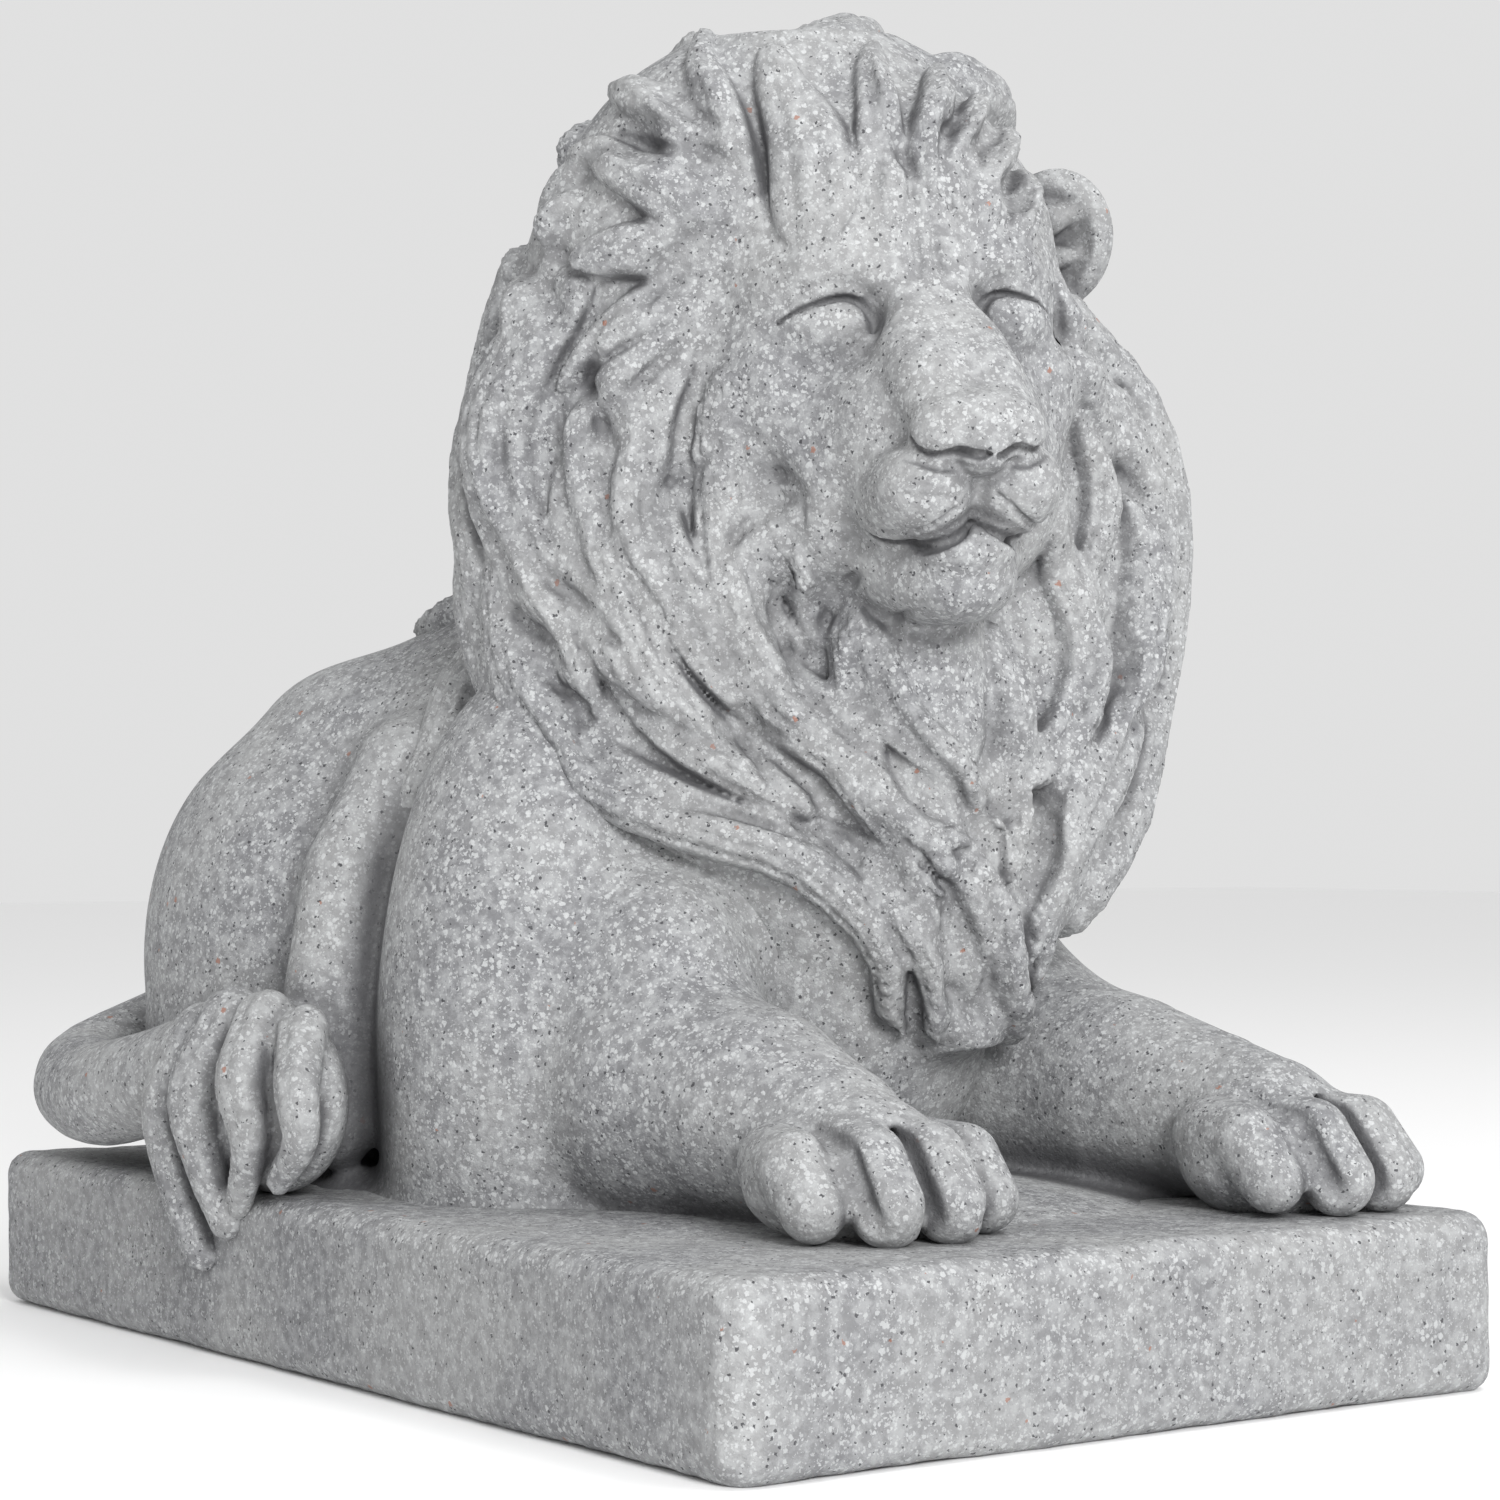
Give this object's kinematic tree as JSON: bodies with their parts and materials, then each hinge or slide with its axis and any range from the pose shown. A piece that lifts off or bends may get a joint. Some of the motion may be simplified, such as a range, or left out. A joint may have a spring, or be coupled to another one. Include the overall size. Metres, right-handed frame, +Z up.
{
  "type": "lion statue",
  "caption": "Garden statue of a maned lion lying with its head raised on a low rectangular plinth, cast in one piece in speckled grey stone",
  "frame": {"origin": "middle of the plinth's flat underside", "axes": "+Z up, -Y the way the lion's body points, +X the lion's left side"},
  "size_m": [0.2761, 0.4115, 0.3861],
  "materials": {
    "cast_stone": "matte grey cast stone with white and black flecks"
  },
  "bodies": {
    "root": {"lion_statue": "cast_stone"}
  },
  "joints": []
}
